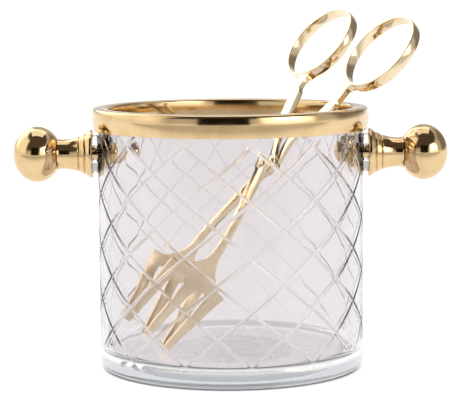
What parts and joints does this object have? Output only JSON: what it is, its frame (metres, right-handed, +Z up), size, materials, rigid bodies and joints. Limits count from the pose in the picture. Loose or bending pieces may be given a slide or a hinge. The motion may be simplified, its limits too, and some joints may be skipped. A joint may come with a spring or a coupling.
{
  "type": "ice bucket with tongs",
  "caption": "Cylindrical cut-glass ice bucket with a brass rim and ball-ended side handles; scissor ice tongs with finger rings and forked jaws stand in it",
  "frame": {"origin": "centre of the flat underside of the glass, on the surface it stands on", "axes": "+Z up along the glass's axis; the handles lie along X; the tongs lean from the left of the floor to the right and back of the rim"},
  "size_m": [0.2202, 0.1508, 0.1804],
  "materials": {
    "cut_glass": "clear, wheel-cut on the outside, fire-polished inside",
    "polished_brass": "polished and lacquered",
    "tongs_brass": "satin on the forks, polished on the arms and rings",
    "clear_plastic": "clear, soft"
  },
  "bodies": {
    "bucket": {"glass_vessel": "cut_glass", "rim_collar": "polished_brass", "left_handle_neck": "polished_brass", "left_handle_knob": "polished_brass", "left_handle_stud": "polished_brass", "left_inner_washer": "polished_brass", "left_cap_nut": "polished_brass", "right_handle_neck": "polished_brass", "right_handle_knob": "polished_brass", "right_handle_stud": "polished_brass", "right_inner_washer": "polished_brass", "right_cap_nut": "polished_brass", "left_outer_saddle_washer": "clear_plastic", "left_inner_saddle_washer": "clear_plastic", "right_outer_saddle_washer": "clear_plastic", "right_inner_saddle_washer": "clear_plastic", "rim_seal": "clear_plastic"},
    "tongs": {"tong_lever_b": "tongs_brass", "finger_ring_b": "tongs_brass", "pivot_rivet": "tongs_brass", "pivot_washer": "tongs_brass", "pivot_burr": "tongs_brass"},
    "swinging_lever": {"tong_lever_a": "tongs_brass", "finger_ring_a": "tongs_brass"}
  },
  "joints": [
    {"name": "tongs_lift", "type": "slide", "parent": "bucket", "child": "tongs", "axis": [0, 0, 1], "range_m": [0, 0.14]},
    {"name": "tongs_pivot", "type": "hinge", "parent": "tongs", "child": "swinging_lever", "pos_m": [0.01849, 0.01282, 0.10024], "axis": [-0.6595, -0.3999, 0.6365], "range_deg": [0, 17]}
  ]
}
